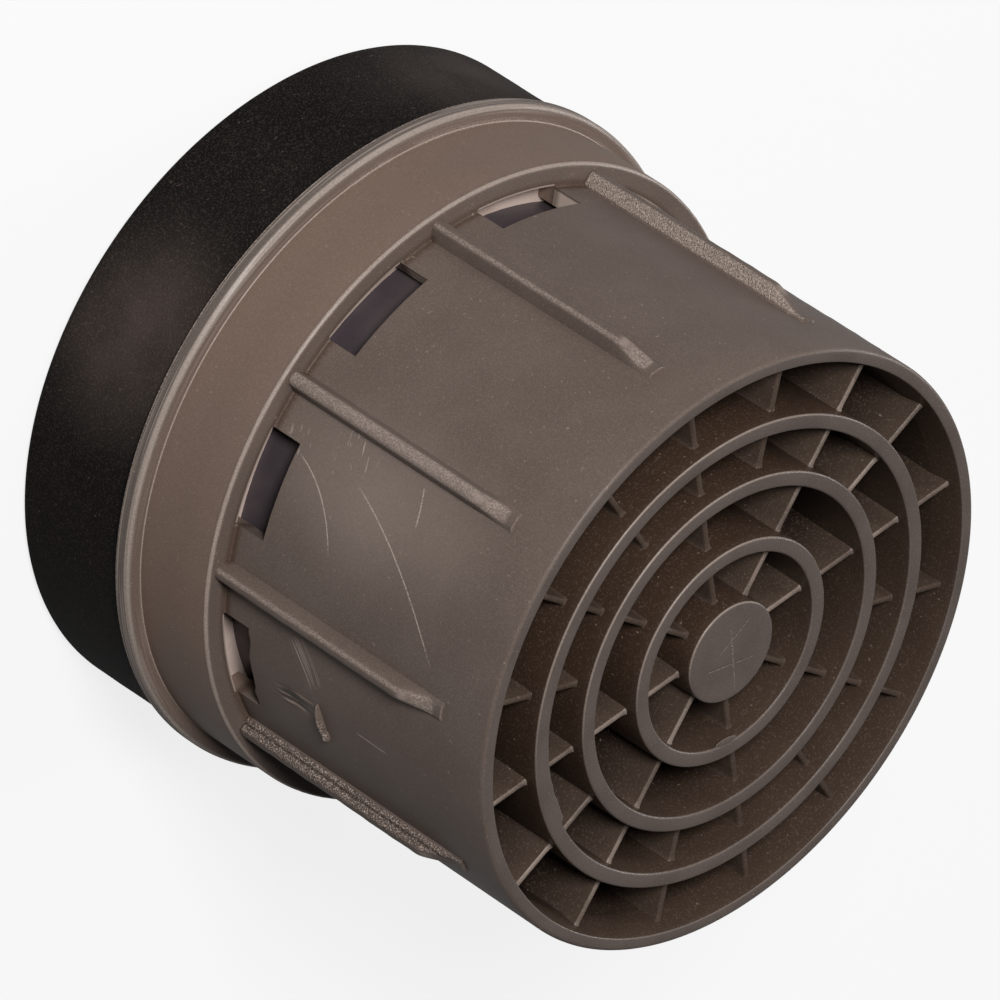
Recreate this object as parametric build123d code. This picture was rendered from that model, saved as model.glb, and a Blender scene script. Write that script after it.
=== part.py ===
"""Insert aerator of an eyewash outlet: a rubber washer on a ribbed barrel with air windows and a ring
grille. It stands on the washer's inlet face, with +Z along the axis towards the outlet. Millimetres."""
import os
from math import asin, degrees, hypot, sqrt

from build123d import *

# Barrel and outlet rim
barrel_radius = 10.0
barrel_length = 11.4  # shoulder to outlet rim
barrel_wall = 0.6
rim_wall = 0.43  # the wall is thinner at the outlet edge
rim_bevel_length = 1.2  # length over which the bore opens to the rim
rim_round = 0.14

# Collar and lip behind the barrel
collar_step = 0.75  # collar stands out from the barrel by this much
collar_height = 3.0
shoulder_round = 0.16
lip_step = 0.5  # lip stands out from the collar by this much
lip_height = 0.6
lip_round = 0.22

# Rubber washer
washer_inset = 0.25  # washer edge lies inside the lip edge
washer_height = 4.65
washer_bore_radius = 8.4
washer_round = 0.35

# Barrel sectors: one rib and one air window in each
sector_count = 10
window_width = 3.2
window_height = 1.15
rib_base_width = 0.62
rib_top_width = 0.44
rib_height = 0.27
rib_length = 9.5
rib_ramp = 1.0

# Outlet grille
grille_depth = 5.0
hub_radius = 1.7
ring_wall = 0.5
channel_shares = (1.63, 1.66, 1.38, 1.69)  # relative widths of the channels, hub to rim
spoke_counts = (8, 8, 16, 16)  # spokes across each channel
spoke_top_wall = 0.2
spoke_base_wall = 0.55  # the spokes thicken away from the outlet
spoke_recess = 0.5

# Seat for the inner pieces inside the collar
seat_wall = 0.7
seat_depth = 2.95
fit_clearance = 0.1

# Jet former
plate_thickness = 1.0
boss_radius = 3.6
boss_height = 1.5
jet_radius = 0.5
jet_counts = (16, 24)

# Air ring between jet former and mixing grids
air_ring_gap = 0.2  # radial room between ring and barrel bore
air_ring_wall = 0.7
port_width = 1.6
port_height = 0.45

# Flow ring
flow_ring_section = 0.65
flow_ring_play = 0.03

# Strainer
strainer_wall = 0.75
strainer_flange = 0.5
dome_gap = 0.3  # radial room between dome and washer bore
dome_rise = 2.0
dome_wall = 0.5
strainer_hole_radius = 0.42
strainer_hole_rings = 5
strainer_holes_per_ring = 6  # first ring; each further ring has as many more

# Mixing grids
grid_wall = 0.6
grid_lattice_depth = 1.0
grid_bar = 0.4
grid_bars = 7

# Worked-out radii
bore_radius = barrel_radius - barrel_wall
rim_bore_radius = barrel_radius - rim_wall
collar_radius = barrel_radius + collar_step
lip_radius = collar_radius + lip_step
washer_radius = lip_radius - washer_inset
seat_radius = collar_radius - seat_wall
insert_radius = seat_radius - fit_clearance
air_ring_radius = bore_radius - air_ring_gap
air_ring_bore = air_ring_radius - air_ring_wall
grid_radius = bore_radius - fit_clearance
dome_radius = washer_bore_radius - dome_gap

# Worked-out heights above the washer's inlet face
lip_bottom = washer_height
lip_top = lip_bottom + lip_height
shoulder = lip_top + collar_height
outlet = shoulder + barrel_length
ledge = lip_bottom + seat_depth
plate_bottom = ledge - plate_thickness
window_top = shoulder + window_height
grille_bottom = outlet - grille_depth
grid_height = (grille_bottom - window_top) / 2

sector_angle = 360 / sector_count
first_rib_angle = -90


def turned(profile_points, rounds=()):
    """Solid of revolution about Z; each round is a corner's number and its radius."""
    section = make_face(Polyline(*profile_points, close=True))
    for corner, radius in rounds:
        x, z = profile_points[corner]
        vertex = min(section.vertices(), key=lambda v: hypot(v.X - x, v.Y - z))
        section = fillet(vertex, radius)
    return revolve(Plane.XZ * section, axis=Axis.Z)


def tube(outer, inner, bottom, top):
    """Plain tube between two heights."""
    wall = Circle(outer) - Circle(inner)
    return extrude(Plane.XY.offset(bottom) * wall, top - bottom)


def disc(radius, bottom, top):
    """Plain round disc between two heights."""
    return extrude(Plane.XY.offset(bottom) * Circle(radius), top - bottom)


def around(piece, count, first=0):
    """Equal copies of a piece about Z."""
    return [Rot(0, 0, first + k * 360 / count) * piece for k in range(count)]


def channel_radii():
    """Inner and outer radius of each water channel, from the hub to the rim."""
    walls = ring_wall * (len(channel_shares) - 1)
    room = rim_bore_radius - hub_radius - walls
    radii = []
    inner = hub_radius
    for share in channel_shares:
        outer = inner + room * share / sum(channel_shares)
        radii.append((inner, outer))
        inner = outer + ring_wall
    return radii


def make_washer():
    """Thick rubber ring with rounded outer edge at the inlet."""
    points = [(washer_bore_radius, 0), (washer_radius, 0), (washer_radius, washer_height),
              (washer_bore_radius, washer_height)]
    return turned(points, [(1, washer_round)])


def make_shell():
    """Lip, collar and barrel as one turned wall with the seat for the inner pieces."""
    points = [(seat_radius, lip_bottom), (lip_radius, lip_bottom), (lip_radius, lip_top),
              (collar_radius, lip_top), (collar_radius, shoulder), (barrel_radius, shoulder),
              (barrel_radius, outlet), (rim_bore_radius, outlet),
              (bore_radius, outlet - rim_bevel_length), (bore_radius, ledge), (seat_radius, ledge)]
    return turned(points, [(2, lip_round), (4, shoulder_round), (6, rim_round)])


def make_barrel_rib():
    """Tapered rib on the barrel that starts at the shoulder and ends in a ramp; it points along +X."""
    root = barrel_radius - barrel_wall / 2
    crest = barrel_radius + rib_height
    end = shoulder + rib_length
    across = Polygon((root, -rib_base_width / 2), (barrel_radius, -rib_base_width / 2),
                     (crest, -rib_top_width / 2), (crest, rib_top_width / 2),
                     (barrel_radius, rib_base_width / 2), (root, rib_base_width / 2), align=None)
    prism = extrude(Plane.XY.offset(shoulder) * across, rib_length)
    along = Polygon((root, shoulder), (crest, shoulder), (crest, end - rib_ramp),
                    (barrel_radius, end), (root, end), align=None)
    return prism & extrude(Plane.XZ * along, rib_base_width, both=True)


def make_window():
    """Cutter for one air window on the shoulder that opens behind it into the seat; it points along +X."""
    depth = 2 * barrel_wall + collar_step
    centre = barrel_radius - barrel_wall / 2
    opening = Pos(centre, 0, shoulder + window_height / 2) * Box(depth, window_width, window_height)
    pocket = Pos(centre, 0, (ledge + window_top) / 2) * Box(depth, window_width, window_top - ledge)
    return opening + (pocket & disc(seat_radius, ledge, window_top))


def make_grille():
    """Hub, rings and recessed spokes across the outlet."""
    channels = channel_radii()
    solids = [disc(hub_radius, grille_bottom, outlet)]
    for (_, ring_inner), (ring_outer, _) in zip(channels, channels[1:]):
        solids.append(tube(ring_outer, ring_inner, grille_bottom, outlet))
    spoke_top = outlet - spoke_recess
    across = Polygon((-spoke_base_wall / 2, grille_bottom), (spoke_base_wall / 2, grille_bottom),
                     (spoke_top_wall / 2, spoke_top), (-spoke_top_wall / 2, spoke_top), align=None)
    for (inner, outer), count in zip(channels, spoke_counts):
        start = inner - min(ring_wall, hub_radius) / 2
        stop = outer + rim_wall / 2
        spoke = extrude(Plane.YZ.offset(start) * across, stop - start)
        solids += around(spoke, count)
    return solids


def make_housing():
    """One moulding: lip, collar, ribbed barrel with air windows, and outlet grille."""
    housing = make_shell() + make_grille()
    housing = housing + around(make_barrel_rib(), sector_count, first_rib_angle)
    return housing - around(make_window(), sector_count, first_rib_angle + sector_angle / 2)


def make_jet_former():
    """Perforated plate on the ledge with a boss for the flow ring."""
    former = disc(insert_radius, plate_bottom, ledge)
    former += disc(boss_radius, plate_bottom - boss_height, plate_bottom)
    seat_edge = boss_radius + flow_ring_play + 2 * flow_ring_section
    step = (air_ring_bore - seat_edge) / len(jet_counts)
    jets = []
    for number, count in enumerate(jet_counts):
        jet = Pos(seat_edge + (number + 0.5) * step, 0, 0) * disc(jet_radius, plate_bottom, ledge)
        jets += around(jet, count)
    return former - jets


def make_air_ring():
    """Spacer ring behind the air windows, with a port for the air in its outlet edge at each window."""
    ring = tube(air_ring_radius, air_ring_bore, ledge, window_top)
    middle = (air_ring_radius + air_ring_bore) / 2
    port = Pos(middle, 0, window_top - port_height / 2) * Box(2 * air_ring_wall, port_width, port_height)
    return ring - around(port, sector_count, first_rib_angle + sector_angle / 2)


def make_flow_ring():
    """Rubber ring round the boss that squeezes the flow as the pressure rises."""
    centre_radius = boss_radius + flow_ring_play + flow_ring_section
    height = plate_bottom - flow_ring_play - flow_ring_section
    return Pos(0, 0, height) * Torus(centre_radius, flow_ring_section)


def dome_arc(edge_radius, edge_height, rise):
    """Three points of a round cap, from the axis to its edge."""
    sphere_radius = (edge_radius ** 2 + rise ** 2) / (2 * rise)
    centre = edge_height - rise + sphere_radius
    half_angle = degrees(asin(edge_radius / sphere_radius)) / 2
    middle = Vector(0, -sphere_radius).rotate(Axis.Z, half_angle)
    return (0, edge_height - rise), (middle.X, centre + middle.Y), (edge_radius, edge_height)


def make_dome():
    """Thin round cap of the strainer, bulging towards the inlet."""
    outside = dome_arc(dome_radius, lip_bottom, dome_rise)
    inside = dome_arc(dome_radius - dome_wall, lip_bottom, dome_rise - dome_wall)
    section = make_face([ThreePointArc(*outside), Line(outside[2], inside[2]),
                         ThreePointArc(*inside), Line(inside[0], outside[0])])
    return revolve(Plane.XZ * section, axis=Axis.Z)


def make_strainer():
    """Perforated dome with a flange and a wall that stands between washer and jet former."""
    flange_bore = dome_radius - dome_wall
    strainer = make_dome() + tube(insert_radius, flange_bore, lip_bottom, lip_bottom + strainer_flange)
    strainer += tube(insert_radius, insert_radius - strainer_wall, lip_bottom, plate_bottom)
    reach = dome_rise + strainer_flange
    hole = disc(strainer_hole_radius, lip_bottom - reach, lip_bottom)
    step = flange_bore / (strainer_hole_rings + 0.5)
    holes = [hole]
    for ring in range(1, strainer_hole_rings + 1):
        holes += around(Pos(ring * step, 0, 0) * hole, ring * strainer_holes_per_ring)
    return strainer - holes


def make_grid(bottom, angle):
    """Ring with a square lattice at its outlet end."""
    top = bottom + grid_height
    bore = grid_radius - grid_wall
    pitch = 2 * bore / (grid_bars + 1)
    bars = Sketch()
    for k in range(grid_bars):
        offset = (k + 1) * pitch - bore
        half = sqrt(bore ** 2 - offset ** 2) + grid_wall / 2
        bars += Pos(0, offset) * Rectangle(2 * half, grid_bar)
        bars += Pos(offset, 0) * Rectangle(grid_bar, 2 * half)
    lattice = extrude(Plane.XY.offset(top - grid_lattice_depth) * bars, grid_lattice_depth)
    return Rot(0, 0, angle) * (tube(grid_radius, bore, bottom, top) + lattice)


def main():
    """Writes each piece to its own file."""
    pieces = {
        "washer": make_washer(),
        "housing": make_housing(),
        "strainer": make_strainer(),
        "flow_ring": make_flow_ring(),
        "jet_former": make_jet_former(),
        "air_ring": make_air_ring(),
        "inlet_grid": make_grid(window_top, 0),
        "outlet_grid": make_grid(window_top + grid_height, 45),
    }
    os.makedirs("parts", exist_ok=True)
    for name, piece in pieces.items():
        export_step(piece, f"parts/{name}.step")


if __name__ == "__main__":
    main()
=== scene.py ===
from math import cos, pi, radians, sin
from types import SimpleNamespace

import bpy
import numpy as np
from mathutils import Matrix, Vector


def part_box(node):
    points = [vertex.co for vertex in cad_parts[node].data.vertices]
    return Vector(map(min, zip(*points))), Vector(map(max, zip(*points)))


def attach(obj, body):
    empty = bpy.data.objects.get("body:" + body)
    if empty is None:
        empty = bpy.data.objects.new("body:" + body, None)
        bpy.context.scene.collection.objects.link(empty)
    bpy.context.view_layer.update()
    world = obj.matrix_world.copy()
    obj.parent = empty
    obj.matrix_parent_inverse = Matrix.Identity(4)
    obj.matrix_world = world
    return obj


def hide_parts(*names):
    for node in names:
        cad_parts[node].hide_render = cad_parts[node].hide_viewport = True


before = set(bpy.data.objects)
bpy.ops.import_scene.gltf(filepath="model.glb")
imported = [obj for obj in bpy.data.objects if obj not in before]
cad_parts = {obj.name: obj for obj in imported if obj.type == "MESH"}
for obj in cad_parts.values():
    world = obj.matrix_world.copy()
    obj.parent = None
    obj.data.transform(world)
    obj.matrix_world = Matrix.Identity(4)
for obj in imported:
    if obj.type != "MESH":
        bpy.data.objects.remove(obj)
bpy.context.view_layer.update()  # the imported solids, one object for each node, in metres
mm = 0.001
fullTurn = 2 * pi
print("frame loaded:", ", ".join(sorted(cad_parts)))

# sizes below are millimetres; what the solids already give is read from their boxes
housingLow, housingHigh = (np.array(corner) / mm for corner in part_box("housing"))
washerHigh = np.array(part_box("washer")[1]) / mm

body = {
    "lipRadius": housingHigh[0],
    "lipBottom": housingLow[2],
    "lipHeight": 0.6,
    "lipStep": 0.5,  # lip's edge to collar
    "collarHeight": 3.0,
    "collarStep": 0.75,  # collar to barrel
    "barrelWall": 0.6,
    "rimWall": 0.43,
    "rimBevel": 1.2,
    "seatWall": 0.7,
    "seatDepth": 2.95,
    "outlet": housingHigh[2],
    "sectors": 10,  # one rib and one air window in each
    "firstRib": radians(-90),
}
lipRadius = body["lipRadius"]
collarRadius = lipRadius - body["lipStep"]
barrelRadius = collarRadius - body["collarStep"]
boreRadius = barrelRadius - body["barrelWall"]
rimBore = barrelRadius - body["rimWall"]
seatRadius = collarRadius - body["seatWall"]
lipBottom = body["lipBottom"]
lipTop = lipBottom + body["lipHeight"]
shoulder = lipTop + body["collarHeight"]
ledge = lipBottom + body["seatDepth"]
outlet = body["outlet"]
sector = fullTurn / body["sectors"]
ribAngles = body["firstRib"] + np.arange(body["sectors"]) * sector


# a closed outline with rounded corners (across, up, radius): each corner becomes an arc that touches both
# sides, its centre on the bisector at radius / sin(half the corner's angle)
def roundedOutline(corners, arcSteps):
    corners = np.array(corners, float)
    points, radii = corners[:, :2], corners[:, 2]
    back = np.roll(points, 1, 0) - points
    ahead = np.roll(points, -1, 0) - points
    back /= np.linalg.norm(back, axis=1, keepdims=True)
    ahead /= np.linalg.norm(ahead, axis=1, keepdims=True)
    half = np.arccos(np.clip((back * ahead).sum(1), -1, 1)) / 2
    inward = (back + ahead) / np.linalg.norm(back + ahead, axis=1, keepdims=True)
    centre = points + inward * (radii / np.sin(half))[:, None]
    reach = (radii / np.tan(half))[:, None]
    first = points + back * reach - centre
    last = points + ahead * reach - centre
    start = np.arctan2(first[:, 1], first[:, 0])
    sweep = (np.arctan2(last[:, 1], last[:, 0]) - start + pi) % fullTurn - pi
    angle = start[:, None] + sweep[:, None] * np.linspace(0, 1, arcSteps)
    arcs = centre[:, None] + radii[:, None, None] * np.stack([np.cos(angle), np.sin(angle)], -1)
    return arcs.reshape(-1, 2)


# evenly spaced points put into those straight runs of a closed outline that are longer than the spacing
def filledOutline(outline, spacing):
    ahead = np.roll(outline, -1, 0) - outline
    counts = np.maximum(1, np.ceil(np.linalg.norm(ahead, axis=1) / spacing)).astype(int)
    index = np.repeat(np.arange(len(outline)), counts)
    step = np.arange(counts.sum()) - np.repeat(np.cumsum(counts) - counts, counts)
    return outline[index] + ahead[index] * (step / counts[index])[:, None]


# evenly spaced angles of a full turn, from 0
def roundAngles(count):
    return np.arange(count) * fullTurn / count


# an outline of (radius, height) carried round the axis: (r cos a, r sin a, h), with a shift of the radius
# for each outline point and angle
def turnedGrid(outline, angle, outward=0):
    radius = outline[:, :1] + outward + 0 * angle
    height = outline[:, 1:] + 0 * angle
    return np.stack([radius * np.cos(angle), radius * np.sin(angle), height], -1)


# a straight blend that eases in and out: 3t^2 - 2t^3 of the clamped share between low and high
def eased(value, low, high):
    share = np.clip((value - low) / (high - low), 0, 1)
    return share * share * (3 - 2 * share)


# an uneven edge: random heights between 0 and 1 at even angles, joined by straight lines round the turn
def raggedEdge(angle, points, seed):
    heights = np.random.default_rng(seed).random(points)
    return np.interp(angle % fullTurn, np.linspace(0, fullTurn, points + 1), np.append(heights, heights[0]))


# a closed solid from a grid whose columns run round a section and whose rows run along a path; the rows
# close on themselves, or the two end sections get flat caps
def gridSolid(grid, closed):
    rows, columns = grid.shape[:2]
    index = np.arange(rows * columns).reshape(rows, columns)
    wrapped = np.hstack([index, index[:, :1]])
    caps = [index[:1, ::-1], index[-1:]]
    if closed:
        wrapped = np.vstack([wrapped, wrapped[:1]])
        caps = []
    corners = wrapped[:-1, :-1], wrapped[:-1, 1:], wrapped[1:, 1:], wrapped[1:, :-1]
    points = grid.reshape(-1, 3)
    faces = [np.stack(corners, -1).reshape(-1, 4)] + caps
    return points, facingOut(points, faces)


# faces turned outwards: the sum of a . (b x c) over their triangles is six times the volume, and a negative
# volume means that every face is the wrong way round
def facingOut(points, faces):
    volume = 0
    for group in faces:
        a, b, c = points[group[:, :1]], points[group[:, 1:-1]], points[group[:, 2:]]
        volume += (a * np.cross(b, c)).sum()
    return faces if volume > 0 else [group[:, ::-1] for group in faces]


# equal copies of a solid about the axis, one for each angle: (x cos a - y sin a, x sin a + y cos a, z)
def copiesAround(solid, angles):
    points, faces = solid
    c, s = np.cos(angles)[:, None], np.sin(angles)[:, None]
    x, y, z = points.T
    placed = np.stack([x * c - y * s, x * s + y * c, z + 0 * c], -1)
    offset = np.arange(len(angles))[:, None, None] * len(points)
    return placed.reshape(-1, 3), [(group + offset).reshape(-1, group.shape[1]) for group in faces]


# several solids in one set of points and faces
def gathered(solids):
    points, faces = [], []
    count = 0
    for some, groups in solids:
        points.append(some)
        faces += [group + count for group in groups]
        count += len(some)
    return np.concatenate(points), faces


# a mesh object at the origin from points in millimetres
def addMesh(name, solid):
    points, faces = solid
    mesh = bpy.data.meshes.new(name)
    mesh.from_pydata((points * mm).tolist(), [], [face for group in faces for face in group.tolist()])
    piece = bpy.data.objects.new(name, mesh)
    bpy.context.scene.collection.objects.link(piece)
    return piece


# smooth shading with a crease wherever two faces meet at more than the given angle
def creased(piece, degrees):
    mesh = piece.data
    mesh.polygons.foreach_set("use_smooth", np.ones(len(mesh.polygons), bool))
    mesh.set_sharp_from_angle(angle=radians(degrees))
    mesh.update()


# one mesh from a base solid and others that are joined to it or cut from it in turn
def fused(name, base, steps):
    piece = addMesh(name, base)
    helpers = []
    for operation, solid in steps:
        helper = addMesh("helper", solid)
        helpers.append(helper)
        change = piece.modifiers.new(operation.lower(), "BOOLEAN")
        change.operation = operation
        change.solver = "MANIFOLD"
        change.object = helper
    bpy.context.view_layer.update()
    graph = bpy.context.evaluated_depsgraph_get()
    result = bpy.data.meshes.new_from_object(piece.evaluated_get(graph))
    piece.modifiers.clear()
    piece.data = result
    for helper in helpers:
        bpy.data.meshes.remove(helper.data)
    return piece


shell = {
    "columns": 480,
    "spacing": 1.6,
    "arcSteps": 5,
    "lipRound": 0.24,
    "shoulderRound": 0.15,
    "rimRound": 0.14,
    "bevelRound": 0.4,
    "innerRound": 0.05,
    "flash": 0.06,  # how far the torn moulding edge stands out from the lip
    "flashPoints": 420,
    "flashPatches": 24,  # stretches of the turn that are torn more or less
    "flashSeed": 3,
    "patchSeed": 4,
    "edgeWave": 0.012,
    "edgeSeed": 5,
    "sharpFrom": 34,  # degrees between faces
}


# lip, collar and barrel: one outline turned about the axis, with a torn edge along the lip's foot and a
# slightly uneven shoulder
def shellSolid():
    small = shell["innerRound"]
    outline = roundedOutline([
        (seatRadius, lipBottom, small), (lipRadius, lipBottom, small),
        (lipRadius, lipTop, shell["lipRound"]), (collarRadius, lipTop, small),
        (collarRadius, shoulder, shell["shoulderRound"]), (barrelRadius, shoulder, small),
        (barrelRadius, outlet, shell["rimRound"]), (rimBore, outlet, small),
        (boreRadius, outlet - body["rimBevel"], shell["bevelRound"]), (boreRadius, ledge, small),
        (seatRadius, ledge, small)], shell["arcSteps"])
    outline = filledOutline(outline, shell["spacing"])
    angle = roundAngles(shell["columns"])
    radius, height = outline[:, :1], outline[:, 1:]
    foot = (height < lipBottom + small) & (radius > lipRadius - small)
    tear = raggedEdge(angle, shell["flashPoints"], shell["flashSeed"]) ** 3
    tear = tear * raggedEdge(angle, shell["flashPatches"], shell["patchSeed"])
    crest = (abs(height - shoulder) < shell["shoulderRound"]) & (radius > collarRadius - 2 * small)
    wave = raggedEdge(angle, shell["flashPoints"], shell["edgeSeed"]) - 0.5
    outward = foot * (tear * shell["flash"] - small) + crest * wave * shell["edgeWave"]
    return gridSolid(turnedGrid(outline, angle, outward), True)


rib = {
    "baseWidth": 0.66,
    "topWidth": 0.38,
    "height": 0.53,
    "length": 9.5,
    "ramp": 1.7,
    "endHeight": 0.2,  # share of the height left at the blunt end
    "endFlat": 0.2,  # length of the blunt end
    "root": 0.3,  # how far it reaches into the barrel's wall
    "overlap": 0.1,  # how far it starts inside the shoulder
    "tail": 0.05,  # the last section lies this far past the end, sunk and narrowed
    "tailShare": -0.2,
    "tailWidth": 0.86,
    "edgeRound": 0.19,
    "footRound": 0.02,
    "arcSteps": 5,
    "stations": 24,
    "rampStations": 14,
    "wave": 0.012,
    "waveRates": (4.1, 2.3),  # radians for each millimetre
}
ribEnd = shoulder + rib["length"]


# barrel ribs: a rounded trapezoid carried along the axis; its height eases down over the ramp to a blunt end,
# and its crest runs a little uneven, by the product of two sines
def ribSolids():
    base, top = rib["baseWidth"] / 2, rib["topWidth"] / 2
    low, high = barrelRadius - rib["root"], barrelRadius + rib["height"]
    foot, edge = rib["footRound"], rib["edgeRound"]
    outline = roundedOutline([
        (low, -base, foot), (barrelRadius, -base, foot), (high, -top, edge),
        (high, top, edge), (barrelRadius, base, foot), (low, base, foot)], rib["arcSteps"])
    rampStart = ribEnd - rib["ramp"]
    level = np.linspace(shoulder - rib["overlap"], rampStart, rib["stations"])
    ramp = np.linspace(rampStart, ribEnd, rib["rampStations"])[1:]
    run = np.concatenate([level, ramp, [ribEnd + rib["tail"]]])[:, None]
    raised = outline[:, 0] - barrelRadius
    share = 1 - (1 - rib["endHeight"]) * eased(run, rampStart, ribEnd - rib["endFlat"])
    share = np.where(run > ribEnd, rib["tailShare"], share)
    fast, slow = rib["waveRates"]
    uneven = rib["wave"] * np.sin(fast * run) * np.sin(slow * run + 1) * (raised > 0.1)
    reach = barrelRadius + np.where(raised > 0, raised * share, raised) + uneven
    side = outline[:, 1] * np.where(run > ribEnd, rib["tailWidth"], 1.0)
    grid = np.stack([reach, side + 0 * reach, run + 0 * reach], -1)
    return copiesAround(gridSolid(grid, False), ribAngles)


window = {
    "width": 3.2,
    "height": 1.15,
    "depth": 1.2,
    "sill": 0.2,  # how far the cutter reaches below the ledge
    "cornerRound": 0.03,
    "arcSteps": 4,
    "stations": 41,
    "tear": 0.16,  # smeared edge of one window
    "tearPoints": 26,
    "tearSeed": 6,
    "tornWindow": radians(0),
}


# cutter for the air windows: a rounded rectangle of (radius, height) carried across, (sqrt(r^2 - t^2), t, h),
# so that its sides are parallel and its outer wall is round
def windowSolids():
    inner, corner = seatRadius - window["depth"], window["cornerRound"]
    bottom, top = ledge - window["sill"], shoulder + window["height"]
    outline = roundedOutline([
        (inner, bottom, corner), (seatRadius, bottom, corner),
        (seatRadius, top, corner), (inner, top, corner)], window["arcSteps"])
    across = np.linspace(-0.5, 0.5, window["stations"])[:, None] * window["width"]
    reach = np.sqrt(outline[:, 0] ** 2 - across ** 2)
    solids = []
    for angle in ribAngles + sector / 2:
        torn = abs(np.angle(np.exp(1j * (angle - window["tornWindow"])))) < 0.01
        tear = raggedEdge(across, window["tearPoints"], window["tearSeed"]) * window["tear"] * torn
        height = outline[:, 1] - tear * (outline[:, 1] > shoulder)
        grid = np.stack([reach, across + 0 * reach, height + 0 * reach], -1)
        solids.append(copiesAround(gridSolid(grid, False), np.array([angle])))
    return gathered(solids)


grille = {
    "depth": 5.0,
    "hubRadius": 1.7,
    "hubSteps": 6,
    "hubFlat": (0.9, 0.01),  # stations on its flat top, as shares of the radius
    "axisGap": 0.01,
    "ringWall": 0.5,
    "shares": np.array([1.63, 1.66, 1.38, 1.69]),  # relative channel widths, hub to rim
    "edgeRound": 0.08,
    "draft": 0.06,
    "arcSteps": 5,
    "spacing": 2.6,
    "columns": 240,
    "sliver": 0.2,  # moulding sliver inside the outer ring
    "sliverPoints": 160,
    "sliverSeed": 8,
    "sliverFrom": radians(-17),
    "sliverTo": radians(14),
}
spoke = {
    "counts": (8, 8, 16, 16),  # across each channel, hub to rim
    "topWidth": 0.2,
    "baseWidth": 0.55,
    "recess": 0.5,
    "topRound": 0.085,
    "footRound": 0.03,
    "arcSteps": 5,
    "steps": np.array([0, 0.04, 0.1, 0.2, 0.36]),  # stations from each wall
    "rootIn": 0.2,  # how far it reaches into the walls
    "rootOut": 0.18,
    "flareReach": 0.07,
    "flareWidth": 0.5,
    "flareRise": 0.03,
    "flareDepth": 0.3,  # how far below the crest it rises
}
grilleBottom = outlet - grille["depth"]
channelWidths = grille["shares"] / grille["shares"].sum()
channelWidths = channelWidths * (rimBore - grille["hubRadius"] - 3 * grille["ringWall"])
channelInner = grille["hubRadius"] + np.cumsum(np.append(0, channelWidths[:3] + grille["ringWall"]))
channelOuter = channelInner + channelWidths


# rings and hub: rounded rectangles with a little draft turned about the axis; the outer ring keeps a sliver
# that leans in from its inner edge over a stretch and then breaks off
def ringSolids():
    angle = roundAngles(grille["columns"])
    edge, draft = grille["edgeRound"], grille["draft"]
    solids = []
    for number, (inner, outer) in enumerate(zip(channelOuter[:3], channelInner[1:])):
        outline = filledOutline(roundedOutline([
            (inner - draft, grilleBottom, edge), (outer + draft, grilleBottom, edge),
            (outer, outlet, edge), (inner, outlet, edge)], grille["arcSteps"]), grille["spacing"])
        lean = (angle - grille["sliverFrom"] + pi) % fullTurn - pi
        span = grille["sliverTo"] - grille["sliverFrom"]
        rough = 0.6 + 0.4 * raggedEdge(angle, grille["sliverPoints"], grille["sliverSeed"])
        sliver = np.clip(lean / span, 0, 1) * (lean < span) * rough
        onEdge = (outline[:, 1:] > outlet - 1.5 * edge) & (outline[:, :1] < inner + edge)
        outward = -grille["sliver"] * sliver * onEdge * (number == 2)
        solids.append(gridSolid(turnedGrid(outline, angle, outward), True))
    hub, steps = grille["hubRadius"], grille["hubSteps"]
    arc = np.linspace(0, pi / 2, steps)[:, None]
    rounded = np.hstack([hub - edge + edge * np.cos(arc), outlet - edge + edge * np.sin(arc)])
    flat = np.linspace(*grille["hubFlat"], steps)[:, None] * (hub - edge)
    flat = np.hstack([flat, np.full((steps, 1), outlet)])
    foot = np.array([[grille["axisGap"], grilleBottom], [hub + draft, grilleBottom]])
    solids.append(gridSolid(turnedGrid(np.concatenate([foot, rounded, flat]), angle), False))
    return gathered(solids)


# spokes: a wedge with a rounded crest carried outwards across its channel, flaring where it meets the walls
# by an exponential of the distance to the wall
def spokeSolids():
    base, top = spoke["baseWidth"] / 2, spoke["topWidth"] / 2
    low, high = spoke["footRound"], spoke["topRound"]
    crest = outlet - spoke["recess"]
    foot = grilleBottom + low
    outline = roundedOutline([
        (-base, foot, low), (base, foot, low), (top, crest, high), (-top, crest, high)], spoke["arcSteps"])
    solids = []
    for inner, outer, count in zip(channelInner, channelOuter, spoke["counts"]):
        steps = inner + spoke["steps"], outer - spoke["steps"][::-1]
        reach = np.concatenate([[inner - spoke["rootIn"]], *steps, [outer + spoke["rootOut"]]])[:, None]
        gap = np.maximum(0, np.minimum(reach - inner, outer - reach))
        flare = np.exp(-gap / spoke["flareReach"])
        side = outline[:, 0] * (1 + spoke["flareWidth"] * flare)
        height = outline[:, 1] + (outline[:, 1] > crest - spoke["flareDepth"]) * spoke["flareRise"] * flare
        grid = np.stack([reach + 0 * side, side, height], -1)
        solids.append(copiesAround(gridSolid(grid, False), roundAngles(count)))
    return gathered(solids)


# place: angle, radius and height; size: half sizes off the wall, round it and along it
burrs = (
    {"place": (radians(1.0), barrelRadius, 12.48), "size": (0.24, 0.64, 0.06), "lean": 0.22},
    {"place": (radians(4.0), barrelRadius, 12.6), "size": (0.22, 0.2, 0.11), "lean": 0.1},
    {"place": (radians(-1.6), barrelRadius - 0.02, 11.6), "size": (0.06, 0.07, 0.6), "lean": 0.0},
    {"place": (radians(80), channelOuter[0] - 0.02, outlet - 0.07), "size": (0.16, 0.42, 0.06), "lean": 0.0},
)
gouges = (
    {"place": (radians(0.6), barrelRadius + 0.13, 11.4), "size": (0.2, 0.42, 1.0), "lean": 0.25},
)
tornMesh = {
    "rows": 15,
    "columns": 18,
    "tip": 0.02,  # radians cut off flat at each end
}


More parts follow.
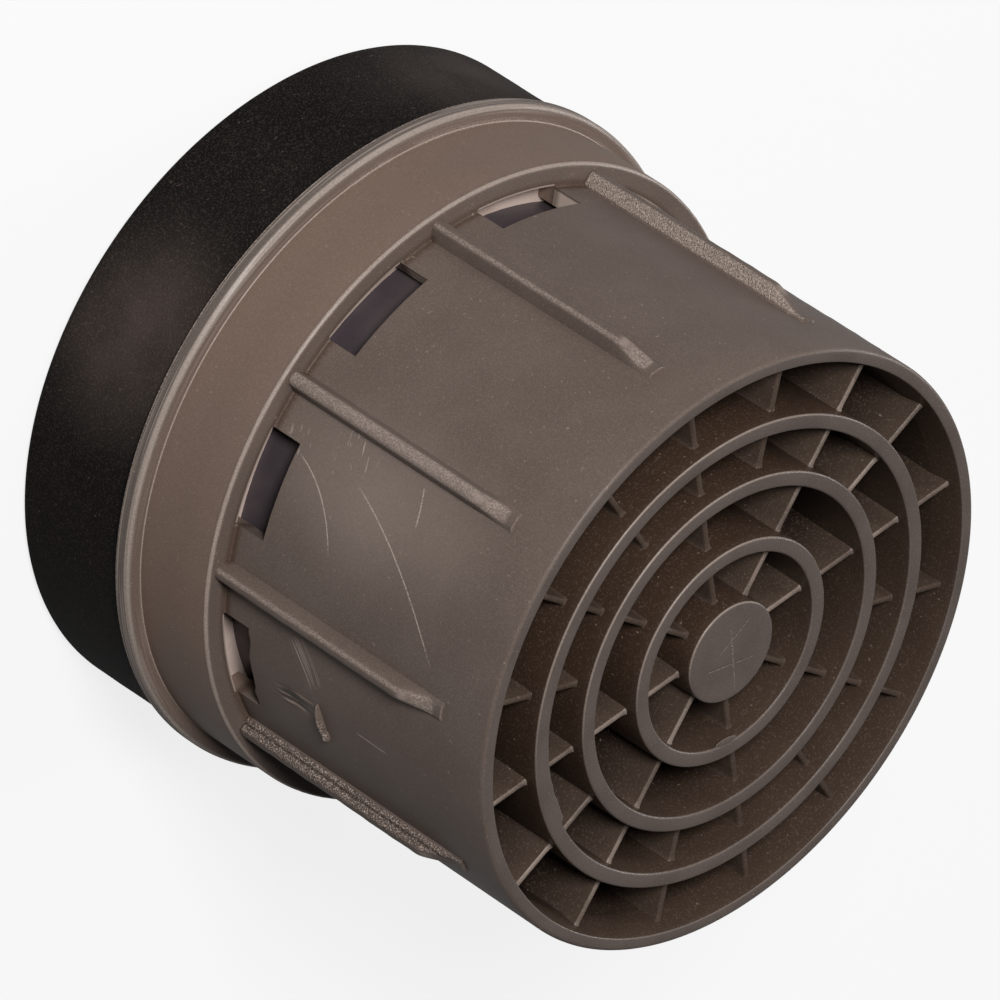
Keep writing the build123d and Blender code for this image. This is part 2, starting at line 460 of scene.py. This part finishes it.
# a burr or gouge: an ellipsoid (a sin u cos v, b cos u, c sin u sin v) that leans along the axis
def tornSolid(piece):
    u = np.linspace(tornMesh["tip"], pi - tornMesh["tip"], tornMesh["rows"])[:, None]
    v = roundAngles(tornMesh["columns"])
    angle, radius, middle = piece["place"]
    deep, long, tall = piece["size"]
    offset = deep * np.sin(u) * np.cos(v)
    along = long * np.cos(u) + 0 * v
    height = tall * np.sin(u) * np.sin(v) + piece["lean"] * along
    grid = np.stack([radius + offset, along, middle + height], -1)
    return copiesAround(gridSolid(grid, False), np.array([angle]))


# prints how many triangles a piece has
def countTriangles(piece):
    piece.data.calc_loop_triangles()
    print(piece.name + ":", len(piece.data.loop_triangles), "triangles")


housing = fused("housing_moulding", shellSolid(), [
    ("UNION", ringSolids()), ("UNION", spokeSolids()), ("UNION", ribSolids()),
    *(("DIFFERENCE", tornSolid(gouge)) for gouge in gouges), *(("UNION", tornSolid(burr)) for burr in burrs),
    ("DIFFERENCE", windowSolids())])
creased(housing, shell["sharpFrom"])
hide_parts("housing")
countTriangles(housing)

rubber = {
    "radius": washerHigh[0],
    "boreRadius": 8.4,
    "height": washerHigh[2],
    "footRound": 0.35,
    "edgeRound": 0.08,
    "arcSteps": 8,
    "columns": 360,
    "spacing": 0.6,
    "wave": 0.015,
    "waveCount": 3,
    "waveTwist": 1.1,  # radians for each millimetre of height
    "waveLength": 1.4,
    "sharpFrom": 50,  # degrees between faces
}


# washer: a rounded rectangle turned about the axis, its wall a little uneven by the product of two sines
def washerSolid():
    bore, radius, height = rubber["boreRadius"], rubber["radius"], rubber["height"]
    edge = rubber["edgeRound"]
    outline = filledOutline(roundedOutline([
        (bore, 0, edge), (radius, 0, rubber["footRound"]), (radius, height, edge), (bore, height, edge)],
        rubber["arcSteps"]), rubber["spacing"])
    angle = roundAngles(rubber["columns"])
    up = outline[:, 1:]
    wave = np.sin(rubber["waveCount"] * angle + rubber["waveTwist"] * up) * np.sin(up / rubber["waveLength"])
    return gridSolid(turnedGrid(outline, angle, -abs(rubber["wave"] * wave)), True)


washer = addMesh("washer_ring", washerSolid())
creased(washer, rubber["sharpFrom"])
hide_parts("washer")
countTriangles(washer)


# one output socket; arithmetic on it adds Math nodes to its finish
class Sock:
    def __init__(self, finish, socket):
        self.finish = finish
        self.socket = socket

    def calc(self, operation, *values):
        return self.finish.node("ShaderNodeMath", {"operation": operation}, dict(enumerate(values)))

    def __add__(self, other):
        return self.calc("ADD", self, other)

    def __radd__(self, other):
        return self.calc("ADD", other, self)

    def __sub__(self, other):
        return self.calc("SUBTRACT", self, other)

    def __rsub__(self, other):
        return self.calc("SUBTRACT", other, self)

    def __mul__(self, other):
        return self.calc("MULTIPLY", self, other)

    def __rmul__(self, other):
        return self.calc("MULTIPLY", other, self)

    def __truediv__(self, other):
        return self.calc("DIVIDE", self, other)

    def __rtruediv__(self, other):
        return self.calc("DIVIDE", other, self)

    def __abs__(self):
        return self.calc("ABSOLUTE", self)

    def root(self):
        return self.calc("SQRT", self)

    def most(self, other):
        return self.calc("MAXIMUM", self, other)

    # eases from 0 at low to 1 at high
    def rise(self, low, high):
        return self.finish.node("ShaderNodeMapRange", {"interpolation_type": "SMOOTHSTEP"},
                                {"Value": self, "From Min": low, "From Max": high})

    # 1 between low and high, with soft ends
    def band(self, low, high, soft):
        return self.rise(low - soft, low + soft) * (1 - self.rise(high - soft, high + soft))


# a node tree under construction; node() adds any node from its type, its settings and its sockets
class Finish:
    def __init__(self, owner):
        owner.use_nodes = True
        self.owner = owner
        self.tree = owner.node_tree
        self.tree.nodes.clear()
        self.point = None

    def node(self, kind, settings, sockets, out=0):
        node = self.tree.nodes.new(kind)
        for key, value in settings.items():
            setattr(node, key, value)
        for key, value in sockets.items():
            if isinstance(value, Sock):
                self.tree.links.new(value.socket, node.inputs[key])
            else:
                node.inputs[key].default_value = value
        return Sock(self, node.outputs[out]) if node.outputs else None

    # another output of the node that a socket belongs to
    def beside(self, sock, out):
        return Sock(self, sock.socket.node.outputs[out])

    # the point on the surface in millimetres, made when it is first asked for
    def place(self):
        if not self.point:
            raw = self.node("ShaderNodeTexCoord", {}, {}, "Object")
            self.point = self.node("ShaderNodeVectorMath", {"operation": "SCALE"}, {0: raw, "Scale": 1 / mm})
        return self.point

    # x, y and z of a vector: of the point, in millimetres, if none is given
    def axes(self, vector=None):
        x = self.node("ShaderNodeSeparateXYZ", {}, {0: vector or self.place()})
        return x, self.beside(x, "Y"), self.beside(x, "Z")

    # the way the surface faces
    def normal(self):
        return self.node("ShaderNodeNewGeometry", {}, {}, "Normal")

    # cloudy noise from 0 to 1; scale counts its lumps for each millimetre
    def noise(self, scale, detail, rough=0.55, at=None):
        return self.node("ShaderNodeTexNoise", {}, {
            "Vector": at or self.place(), "Scale": scale, "Detail": detail, "Roughness": rough})

    # noise drawn out into strokes: each coordinate comes with a scale of its own
    def strokes(self, detail, *scaled):
        return self.noise(1, detail, 0.5, self.node("ShaderNodeCombineXYZ", {}, dict(enumerate(scaled))))

    # one colour over another, by a mask
    def blend(self, mask, under, over):
        return self.node("ShaderNodeMix", {"data_type": "RGBA"}, {0: mask, 6: under, 7: over}, 2)

    # the closing shader: height is in millimetres and becomes bump
    def close(self, colour, roughness, height, gloss):
        bump = self.node("ShaderNodeBump", {}, {"Distance": mm, "Height": height})
        self.end(self.node("ShaderNodeBsdfPrincipled", {}, {
            "Base Color": colour, "Roughness": roughness, "Normal": bump, "Specular IOR Level": gloss}))

    # the tree's output
    def end(self, shader, kind="ShaderNodeOutputMaterial"):
        self.node(kind, {}, {"Surface": shader})


# a finish for a new material
def newFinish(name):
    return Finish(bpy.data.materials.new(name))


# a colour written as 0 to 255 on screen, turned into light: (c + 0.055) / 1.055 to the power 2.4
def paint(red, green, blue):
    screen = np.array([red, green, blue]) / 255
    return tuple(((screen + 0.055) / 1.055) ** 2.4) + (1.0,)


# a place given as degrees and height, on a wall laid flat: (radius * angle, height)
def unrolled(place, radius):
    return radians(place[0]) * radius, place[1]


# the arc from the nearest of the features that each sector has one of: the fraction of the angle from the
# first one in sectors plus a half, less a half, times the sector's arc
def arcFrom(angle, first):
    share = (angle - first) / sector + (2 * body["sectors"] + 0.5)  # two turns keep it above 0
    return (share.calc("FRACT", share) - 0.5) * (sector * barrelRadius)


# the largest of several masks
def largest(mask, *others):
    for other in others:
        mask = mask.most(other)
    return mask


# how far a point lies along a chord, as a share of it, and off it, less a parabola of the bow
def lineFrame(across, up, start, stop, bow):
    chord = np.subtract(stop, start)
    length = float(np.hypot(*chord))
    east, north = (float(part) for part in chord / length)
    dx, dy = across - float(start[0]), up - float(start[1])
    along = (dx * east + dy * north) / length
    return along, dy * east - dx * north - along * (1 - along) * (4 * bow)


# a bowed line that fades at its sides and ends
def lineMask(across, up, start, stop, bow, half):
    along, off = lineFrame(across, up, start, stop, bow)
    return (1 - abs(off).rise(0.4 * half, 1.6 * half)) * along.band(0.08, 0.92, 0.08)


# 1 inside an ellipse round a point, fading out to its edge
def patchMask(across, up, centre, wide, tall, inner):
    dx, dy = (across - centre[0]) / wide, (up - centre[1]) / tall
    return 1 - (dx * dx + dy * dy).root().rise(inner, 1.0)


outsideLook = {
    "light": paint(102, 89, 82),
    "dark": paint(98, 85, 78),
    "barrelSheen": paint(136, 122, 114),
    "collar": paint(116, 97, 86),
    "lip": paint(100, 90, 84),
    "shoulderShade": paint(66, 45, 29),
    "wearAndHighlight": paint(186, 169, 157),
    "markAndHighlight": paint(188, 172, 161),
    "gouge": paint(48, 39, 34),
    "dust": paint(140, 126, 114),
    "gloss": 0.22,
    "pull": radians(-54),  # the mould's slide draws this way, so the ribs' flanks towards it are rough
    # painted light: rib flanks at angles before these are the palest, as the lit side
    "litFlanks": (-2.0, -1.8),  # angles, in radians: flanks before them are the palest
    "creaseSpan": (0.15, 0.5),
    "seamSpan": (-2.25, -1.45),
    # lines on the unrolled barrel: degrees and height of both ends, bow off the straight line, half width
    "scratches": (((-44.1, 9.42), (-30.6, 12.03), 0.42, 0.021), ((-45.1, 11.83), (-23.2, 17.06), 0.45, 0.021),
                  ((-50.9, 14.18), (-43.6, 14.64), 0.05, 0.022), ((-1.9, 13.98), (-1.7, 15.44), 0.0, 0.02)),
    "fan": ((-14.0, 11.2), (-5.0, 12.3), 0.1, 0.45),
    # patches on it: degrees and height of the middle, half width round, half height
    "scuffs": (((-48.5, 11.4), 0.9, 1.1), ((-45.5, 9.3), 0.8, 0.7)),
    "scrape": ((0.2, 11.2), 0.55, 1.15),
    # painted sheen: a paler patch where a lamp's satin highlight falls on the barrel
    "barrelSheenPatch": ((-44, 13.0), 3.6, 6.5),
}


# a point on the moulding's outside: where it lies, how it faces, its zones from 0 to 1, and the noises that
# break up its wear
def outsidePoint(f):
    at = SimpleNamespace()
    x, y, at.z = f.axes()
    at.radius = (x * x + y * y).root()
    at.angle = x.calc("ARCTAN2", y, x)
    at.across = at.angle * barrelRadius
    east, north, at.lift = f.axes(f.normal())
    at.sideways = (x * north - y * east) / at.radius
    onBarrel = at.z.rise(shoulder, shoulder + 0.05)
    at.onCollar = 1 - at.z.rise(shoulder - 0.25, shoulder - 0.02)
    at.onLip = 1 - at.z.rise(lipTop - 0.06, lipTop + 0.04)
    at.onRib = at.radius.rise(barrelRadius + 0.03, barrelRadius + 0.1) * onBarrel
    at.wall = onBarrel * (1 - at.onRib)
    at.cloud = f.noise(0.45, 2)
    at.fine = f.noise(20, 1, 0.6)
    at.streak = f.strokes(0, at.angle * 3, at.z * 18, at.radius * 18)
    return at


# a patch on the unrolled barrel
def barrelPatch(at, patch, inner):
    middle, wide, tall = patch
    return patchMask(at.across, at.z, unrolled(middle, barrelRadius), wide, tall, inner)


# ribs: rough flanks on those far from the slide's line, painted highlights on the crests and tips of the
# others, and one creased flank; the sine of twice the angle from that line tells which flank lies towards it
def ribMasks(at):
    turn = at.angle - outsideLook["pull"]
    aside = abs(turn.calc("SINE", turn))
    farRibs = aside.rise(0.7, 0.9)
    towards = arcFrom(at.angle, body["firstRib"]) * turn.calc("SIGN", turn.calc("SINE", turn * -2))
    flank = at.onRib * towards.rise(0.1, 0.2) * farRibs * (1 - at.z.rise(outlet - 1.6, outlet - 1.2))
    # painted highlight: pale crests, and rib tips that face upwards
    crest = at.onRib * at.radius.rise(barrelRadius + 0.36, barrelRadius + 0.46)
    crest = crest * (1 - aside.rise(0.2, 0.5)).most(towards.band(0.06, 0.18, 0.04) * (1 - farRibs))
    tip = at.onRib * at.z.rise(ribEnd - rib["ramp"], ribEnd - 0.5 * rib["ramp"]) * at.lift.rise(0.05, 0.2)
    crest = crest.most(tip * (1 - farRibs))
    crease = flank * at.radius.band(barrelRadius + 0.22, barrelRadius + 0.27, 0.03)
    return flank, crest, crease * at.angle.band(*outsideLook["creaseSpan"], 0.05)


# pale edges: painted highlights on corners that face partly upwards, the torn foot of the lip, a stretch of
# seam above the lip and streaks round it
def edgeMarksAndHighlights(at):
    # painted highlight: corners that face partly upwards are made pale
    corner = at.lift.band(0.25, 0.85, 0.12) * at.radius.rise(barrelRadius + 0.3, barrelRadius + 0.5)
    foot = 1 - at.z.rise(lipBottom + 0.03, lipBottom + 0.12)
    foot = foot * at.radius.rise(lipRadius - 0.2, lipRadius - 0.1)
    seam = at.z.band(lipTop, lipTop + 0.07, 0.03)
    seam = seam * (1 - at.radius.rise(collarRadius + 0.05, collarRadius + 0.2))
    seam = seam * at.angle.band(*outsideLook["seamSpan"], 0.15) * at.cloud.rise(0.42, 0.52) * 0.7
    return largest(corner * (at.fine * 0.7 + 0.25), foot.most(seam) * at.fine.rise(0.4, 0.6),
                   at.onLip * at.streak.rise(0.52, 0.75) * 0.5)


# marks on the barrel's wall: bowed scratches, scuffs of short strokes, a fan of fine lines, and the scrape
# round the gouge with pale and dark streaks along the axis
def handlingMarks(f, at):
    look = outsideLook
    masks = []
    for start, stop, bow, half in look["scratches"]:
        ends = unrolled(start, barrelRadius), unrolled(stop, barrelRadius)
        masks.append(lineMask(at.across, at.z, *ends, bow, half) * at.fine.rise(0.28, 0.5))
    strokes = f.strokes(1, at.across * 2.2 - at.z * 1.2, at.z * 7.5 - at.across * 2).rise(0.6, 0.72)
    masks += [barrelPatch(at, scuff, 0.3) * strokes for scuff in look["scuffs"]]
    start, stop, bow, half = look["fan"]
    ends = unrolled(start, barrelRadius), unrolled(stop, barrelRadius)
    along, off = lineFrame(at.across, at.z, *ends, bow)
    fan = (1 - abs(off).rise(0.5 * half, half)) * along.band(0.1, 0.9, 0.1)
    masks.append(fan * f.strokes(0, along * 0.6, off * 21).rise(0.5, 0.62) * 0.7)
    smear = f.strokes(1, at.across * 9, at.z * 1.3)
    scrape = barrelPatch(at, look["scrape"], 0.3)
    masks.append(scrape * smear.rise(0.56, 0.66) * 0.45)
    return largest(*masks) * at.wall, scrape * at.wall * (1 - smear.rise(0.42, 0.55))


# outside of the moulding: cloudy grey plastic, warmer on the collar, with painted brown shade in the corner
# under the shoulder, painted highlights on edges, rib crests and one side of each window, a painted sheen
# patch on the barrel, and rough ribs' flanks with painted glints
def outsideFinish():
    look = outsideLook
    f = newFinish("housing_outside")
    at = outsidePoint(f)
    flank, crest, crease = ribMasks(at)
    handled, gouge = handlingMarks(f, at)
    halfWindow = window["width"] / 2
    fromWindow = abs(arcFrom(at.angle, body["firstRib"] + sector / 2))
    # painted highlight: a pale line along the shoulder's edge across each window
    brimHighlight = at.z.band(shoulder - 0.04, shoulder + 0.03, 0.02)
    brimHighlight = brimHighlight * at.radius.band(barrelRadius - 0.04, barrelRadius + 0.1, 0.03)
    brimHighlight = brimHighlight * (1 - fromWindow.rise(halfWindow - 0.1, halfWindow))
    # painted light: the windows' side walls that face one way are made pale, as if a lamp lit them
    litJamb = at.z.band(shoulder, shoulder + window["height"], 0.02) * at.sideways.rise(0.5, 0.9)
    litJamb = litJamb * (1 - at.radius.rise(barrelRadius - 0.1, barrelRadius - 0.04))
    # painted shade: warm brown darkening in the corner under the shoulder
    shoulderShade = at.z.band(shoulder - 0.05, shoulder + 0.2, 0.12) * (1 - brimHighlight)
    shoulderShade = shoulderShade * (1 - at.radius.rise(barrelRadius + 0.1, barrelRadius + 0.3))
    # painted sheen: the barrel is paler in a patch where a lamp's satin highlight falls
    barrelSheen = barrelPatch(at, look["barrelSheenPatch"], 0.0) * (at.cloud * 0.3 + 0.5)
    specks = f.noise(9, 0).rise(0.8, 0.84)
    # pale marks: real scratches, scuffs and flash, together with the painted highlights on edges, crests and
    # the window brims
    marksAndHighlights = largest(edgeMarksAndHighlights(at), brimHighlight * 0.8, crest * (at.fine.rise(0.35, 0.7) * 0.4 + 0.15), handled)

    colour = f.blend(at.cloud.rise(0.35, 0.65), look["dark"], look["light"])
    colour = f.blend(barrelSheen, colour, look["barrelSheen"])
    colour = f.blend(litJamb, colour, look["wearAndHighlight"])
    colour = f.blend(at.onCollar, colour, look["collar"])
    colour = f.blend(at.onLip, colour, look["lip"])
    colour = f.blend(shoulderShade * 0.6, colour, look["shoulderShade"])
    # painted light: flanks on the lit side are paler; the pale specks are painted glints on the rough flanks
    # and grain elsewhere
    colour = f.blend(flank * (1 - at.angle.rise(*look["litFlanks"])) * 0.4, colour, look["wearAndHighlight"])
    colour = f.blend(at.fine.rise(0.5, 0.66) * (flank * 0.75 + 0.08), colour, look["wearAndHighlight"])
    colour = f.blend((1 - at.fine.rise(0.3, 0.5)) * (flank * 0.35 + 0.08), colour, look["gouge"])
    # painted shade: the crease is darkened over the dent that the bump makes; the gouge mask adds dark
    # streaks in the scrape
    colour = f.blend(gouge.most(crease) * 0.7, colour, look["gouge"])
    colour = f.blend(marksAndHighlights * 0.8, colour, look["markAndHighlight"])
    colour = f.blend(specks * 0.7, colour, look["dust"])
    roughness = 0.42 + (at.fine - 0.5) * 0.14 - marksAndHighlights * 0.1 - flank * 0.1
    height = at.fine * (flank * 0.06 + 0.004) + at.streak * at.onLip * 0.03 - crease * 0.04
    f.close(colour, roughness, height, look["gloss"])
    return f.owner


grilleLook = {
    "face": paint(96, 86, 81),
    "wall": paint(76, 63, 54),
    "ring": paint(60, 45, 35),
    "deep": paint(32, 23, 18),
    "wearAndHighlight": paint(190, 172, 160),
    "dust": paint(140, 122, 106),
    "gloss": 0.22,
    # painted highlights: ring edges facing this way and spoke crests along this line are made palest
    "highlightSide": radians(-70),  # ring edges on this side are the palest
    "highlightLine": radians(22),  # and the crests of the spokes along this line
    # lines across the hub: both ends and half width
    "hubLines": (((-0.12, -1.25), (0.04, 1.5), 0.03), ((-1.0, -0.9), (0.5, -0.2), 0.02),
                 ((-0.9, 0.7), (1.1, 0.1), 0.02)),
}


# outlet grille: grey faces, walls with painted shade that turns browner and darker with depth, and painted
# highlights on the edges and spoke crests
def grilleFinish():
    look = grilleLook
    f = newFinish("housing_grille")
    x, y, z = f.axes()
    angle = x.calc("ARCTAN2", y, x)
    east, north, lift = f.axes(f.normal())
    outwards = (x * east + y * north) / (x * x + y * y).root()
    cloud = f.noise(0.6, 2)
    fine = f.noise(14, 1, 0.6)
    onFace = z.rise(outlet - 0.07, outlet - 0.01)
    ringWall = outwards.rise(0.7, 0.95).most((outwards * -1).rise(0.7, 0.95) * 0.55)
    depth = (outlet - z) / grille["depth"]
    # painted highlight: pale ring edges and spoke crests, strongest where the lamps catch them
    highlightSide = angle.calc("COSINE", angle - look["highlightSide"]).rise(0.2, 1.0) * 0.5 + 0.12
    edge = lift.band(0.3, 0.85, 0.12) * z.rise(outlet - 0.2, outlet - 0.05) * highlightSide
    highlightLine = angle.calc("COSINE", (angle - look["highlightLine"]) * 2).rise(0.1, 0.9) * 0.6 + 0.04
    crest = lift.rise(0.3, 0.8) * z.band(outlet - 0.75, outlet - 0.3, 0.05) * highlightLine
    crest = crest * (cloud.rise(0.35, 0.6) * 0.6 + 0.4)
    lines = [lineMask(x, y, start, stop, 0.0, half) for start, stop, half in look["hubLines"]]
    scored = largest(*lines) * onFace * fine.rise(0.3, 0.6)
    specks = f.noise(9, 0).rise(0.81, 0.86)
    marksAndHighlights = largest(scored * 0.35, edge, crest)

    # painted shade: walls turn browner and darker with depth, the ring walls most
    colour = f.blend(ringWall * depth.rise(-0.1, 0.1), look["wall"], look["ring"])
    colour = f.blend(depth.rise(0.0, 0.65), colour, look["deep"])
    colour = f.blend(onFace, colour, look["face"])
    colour = f.blend((1 - cloud.rise(0.3, 0.6)) * 0.15, colour, look["deep"])
    colour = f.blend(fine.rise(0.52, 0.75) * 0.07, colour, look["wearAndHighlight"])
    # pale marks: scored hub lines, with the painted highlights on edges and crests
    colour = f.blend(marksAndHighlights * (fine * 0.5 + 0.4), colour, look["wearAndHighlight"])
    colour = f.blend(specks * 0.6, colour, look["dust"])
    roughness = 0.4 + (fine - 0.5) * 0.2 - marksAndHighlights * 0.08
    f.close(colour, roughness, fine * 0.008 - scored * 0.02, look["gloss"])
    return f.owner


rubberLook = {
    "light": paint(21, 18, 16),
    "dark": paint(15, 13, 12),
    "rubberSheen": paint(74, 64, 60),
    "grain": paint(84, 73, 66),
    "lint": paint(92, 80, 72),
    "gloss": 0.1,
    # painted sheen patches: degrees and height of the middle, half width round, half height, strength
    "sheenPatches": (((-47, 2.6), 4.8, 4.2, 1.0), ((-126, 2.4), 5.5, 4.5, 0.7)),
}


# black rubber: matte, finely grained, with a painted greyish sheen on two sides and lint
def washerFinish():
    look = rubberLook
    f = newFinish("washer_rubber")
    x, y, z = f.axes()
    across = x.calc("ARCTAN2", y, x) * rubber["radius"]
    grain = f.noise(16, 1, 0.65)
    cloud = f.noise(0.5, 3)
    lint = f.noise(8, 0).rise(0.79, 0.84)
    sheenPatches = [patchMask(across, z, unrolled(middle, rubber["radius"]), wide, tall, 0.0) * strength
              for middle, wide, tall, strength in look["sheenPatches"]]
    # painted sheen: greyish patches where the lamps' sheen falls on the rubber
    rubberSheen = largest(*sheenPatches) * cloud.rise(-0.2, 0.8)
    colour = f.blend(cloud.rise(0.3, 0.7), look["dark"], look["light"])
    colour = f.blend(rubberSheen, colour, look["rubberSheen"])
    colour = f.blend(grain.rise(0.48, 0.7) * (rubberSheen * 0.3 + 0.3), colour, look["grain"])
    colour = f.blend(lint * 0.5, colour, look["lint"])
    f.close(colour, 0.62 + (grain - 0.5) * 0.2, grain * 0.03, look["gloss"])
    return f.owner


innerGloss = 0.25
innerLooks = {
    # lighter and darker colour, roughness
    "strainer": (paint(150, 143, 138), paint(136, 129, 125), 0.45),
    "flow_ring": (paint(40, 38, 37), paint(32, 30, 30), 0.6),
    "jet_former": (paint(206, 186, 176), paint(190, 168, 157), 0.4),
    "air_ring": (paint(78, 69, 70), paint(68, 60, 64), 0.4),
    "inlet_grid": (paint(84, 76, 71), paint(74, 66, 62), 0.45),
    "outlet_grid": (paint(72, 60, 52), paint(60, 50, 44), 0.45),
}


# plain inner mouldings: two shades of one plastic
def innerFinish(name, light, dark, roughness):
    f = newFinish(name)
    fine = f.noise(8, 2)
    colour = f.blend(f.noise(0.6, 3).rise(0.35, 0.65), dark, light)
    f.close(colour, roughness + (fine - 0.5) * 0.15, fine * 0.006, innerGloss)
    return f.owner


# gives a piece its materials, in order
def dress(piece, *finishes):
    piece.data.materials.clear()
    for material in finishes:
        piece.data.materials.append(material)


grilleZone = {
    "inset": 0.08,  # from the barrel's wall
    "below": 0.5,  # under the grille's foot
}


# faces of the grille take the second finish: those inside the barrel's wall and above the grille's foot
def dressHousing():
    dress(housing, outsideFinish(), grilleFinish())
    mesh = housing.data
    centres = np.empty(len(mesh.polygons) * 3)
    mesh.polygons.foreach_get("center", centres)
    x, y, z = centres.reshape(-1, 3).T / mm
    inside = np.hypot(x, y) < barrelRadius - grilleZone["inset"]
    inside &= z > grilleBottom - grilleZone["below"]
    mesh.polygons.foreach_set("material_index", inside.astype(np.int32))


dressHousing()
dress(washer, washerFinish())
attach(housing, "root")
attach(washer, "root")
for node, look in innerLooks.items():
    dress(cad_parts[node], innerFinish(node + "_finish", *look))
print("finishes done")

stage = {
    "floorRadius": 1500,
    "floorRings": (40.0, 0.01),  # radii inside its edge
    "floorColumns": 96,
    "floorBottom": -1.0,
    "floorDrop": 0.02,
    "floorColour": (0.85, 0.85, 0.85, 1.0),  # as the view sees it
    "bounceColour": (0.3, 0.3, 0.3, 1.0),  # as it lights the part
    "ambient": 0.03,
    "white": 0.82,  # share of plain white that the view sees on the floor
    "mirrored": 0.08,  # how much of that white shows in reflections
    "lampAim": Vector((0, 0, 0.01)),  # metres
}
lamps = (
    # azimuth and elevation as seen from the part, distance and size in metres, level against plain white
    {"name": "key", "azimuth": -125, "elevation": 36, "distance": 0.5, "size": 0.14, "level": 0.16},
    {"name": "front", "azimuth": -69, "elevation": 40, "distance": 0.5, "size": 0.14, "level": 0.98},
    {"name": "back", "azimuth": 170, "elevation": 18, "distance": 0.5, "size": 0.2, "level": 0.35},
)


# how much of the white backdrop a ray sees: all of it from the view or through clear things, some in
# reflections, as the largest of the three
def backdropShare(f):
    eye = f.node("ShaderNodeLightPath", {}, {}, "Is Camera Ray")
    mirrored = f.beside(eye, "Is Glossy Ray") * stage["mirrored"]
    return eye, eye.most(mirrored).most(f.beside(eye, "Is Transmission Ray"))


# a pale disc that looks white to the view and keeps the shadow; it stays dark where the part stands on it
def floorFinish():
    f = newFinish("floor_paper")
    eye, seen = backdropShare(f)
    x, y, _ = f.axes()
    beyond = (x * x + y * y).root().rise(rubber["radius"] - 2, rubber["radius"])
    colour = f.blend(eye, stage["bounceColour"], stage["floorColour"])
    matt = f.node("ShaderNodeBsdfDiffuse", {}, {"Color": colour})
    bright = f.node("ShaderNodeEmission", {}, {"Color": (1, 1, 1, 1), "Strength": 1.0})
    f.end(f.node("ShaderNodeMixShader", {}, {0: seen * beyond * stage["white"], 1: matt, 2: bright}))
    return f.owner


# the world: white behind everything, and a weak even light
def buildSky():
    world = bpy.data.worlds.new("studio")
    bpy.context.scene.world = world
    f = Finish(world)
    _, seen = backdropShare(f)
    sky = f.node("ShaderNodeBackground", {}, {"Color": (1, 1, 1, 1), "Strength": stage["ambient"]})
    bright = f.node("ShaderNodeBackground", {}, {"Color": (1, 1, 1, 1), "Strength": 1.0})
    f.end(f.node("ShaderNodeMixShader", {}, {0: seen, 1: sky, 2: bright}), "ShaderNodeOutputWorld")


# the floor: a flat outline turned about the axis
def buildFloor():
    top, bottom = -stage["floorDrop"], stage["floorBottom"]
    edge, (middle, hole) = stage["floorRadius"], stage["floorRings"]
    outline = np.array([[edge, bottom], [edge, top], [middle, top], [hole, top], [hole, bottom]])
    floor = addMesh("floor", gridSolid(turnedGrid(outline, roundAngles(stage["floorColumns"])), True))
    dress(floor, floorFinish())


# a unit vector from degrees of azimuth and elevation: (cos a cos e, sin a cos e, sin e)
def direction(azimuth, elevation):
    a, e = radians(azimuth), radians(elevation)
    return Vector((cos(a) * cos(e), sin(a) * cos(e), sin(e)))


# round area lamps; level * pi^2 * distance^2 is the power that lights a white surface to its level
def buildLamps():
    for lamp in lamps:
        light = bpy.data.lights.new(lamp["name"], "AREA")
        light.shape = "DISK"
        light.size = lamp["size"]
        light.energy = lamp["level"] * pi ** 2 * lamp["distance"] ** 2
        holder = bpy.data.objects.new(lamp["name"], light)
        away = direction(lamp["azimuth"], lamp["elevation"])
        holder.location = away * lamp["distance"] + stage["lampAim"]
        holder.rotation_euler = away.to_track_quat("Z", "Y").to_euler()
        bpy.context.scene.collection.objects.link(holder)


view = {
    "azimuth": -55.4,
    "elevation": 36.51,
    "roll": -123.05,
    "distance": 361.5,
    "aim": (0.0, -0.10, 9.455),
    "lens": 430.8,
    "sensor": 36.0,
    "nearest": 0.01,  # metres
}


# the camera stands off from the aim point and is rolled about its own line of sight
def buildCamera():
    roll = radians(view["roll"])
    back = direction(view["azimuth"], view["elevation"])
    levelRight = Vector((0, 0, 1)).cross(back).normalized()
    levelUp = back.cross(levelRight)
    right = levelRight * cos(roll) - levelUp * sin(roll)
    up = levelUp * cos(roll) + levelRight * sin(roll)
    camera = bpy.data.cameras.new("photo_view")
    camera.lens = view["lens"]
    camera.sensor_width = view["sensor"]
    camera.clip_start = view["nearest"]
    holder = bpy.data.objects.new("photo_view", camera)
    turned = Matrix((right, up, back)).transposed().to_4x4()
    eye = Vector(view["aim"]) * mm + back * view["distance"] * mm
    holder.matrix_world = Matrix.Translation(eye) @ turned
    bpy.context.scene.collection.objects.link(holder)
    bpy.context.scene.camera = holder


buildSky()
buildFloor()
buildLamps()
buildCamera()
bpy.context.scene.view_settings.view_transform = "Standard"
print("stage, lamps and camera done")
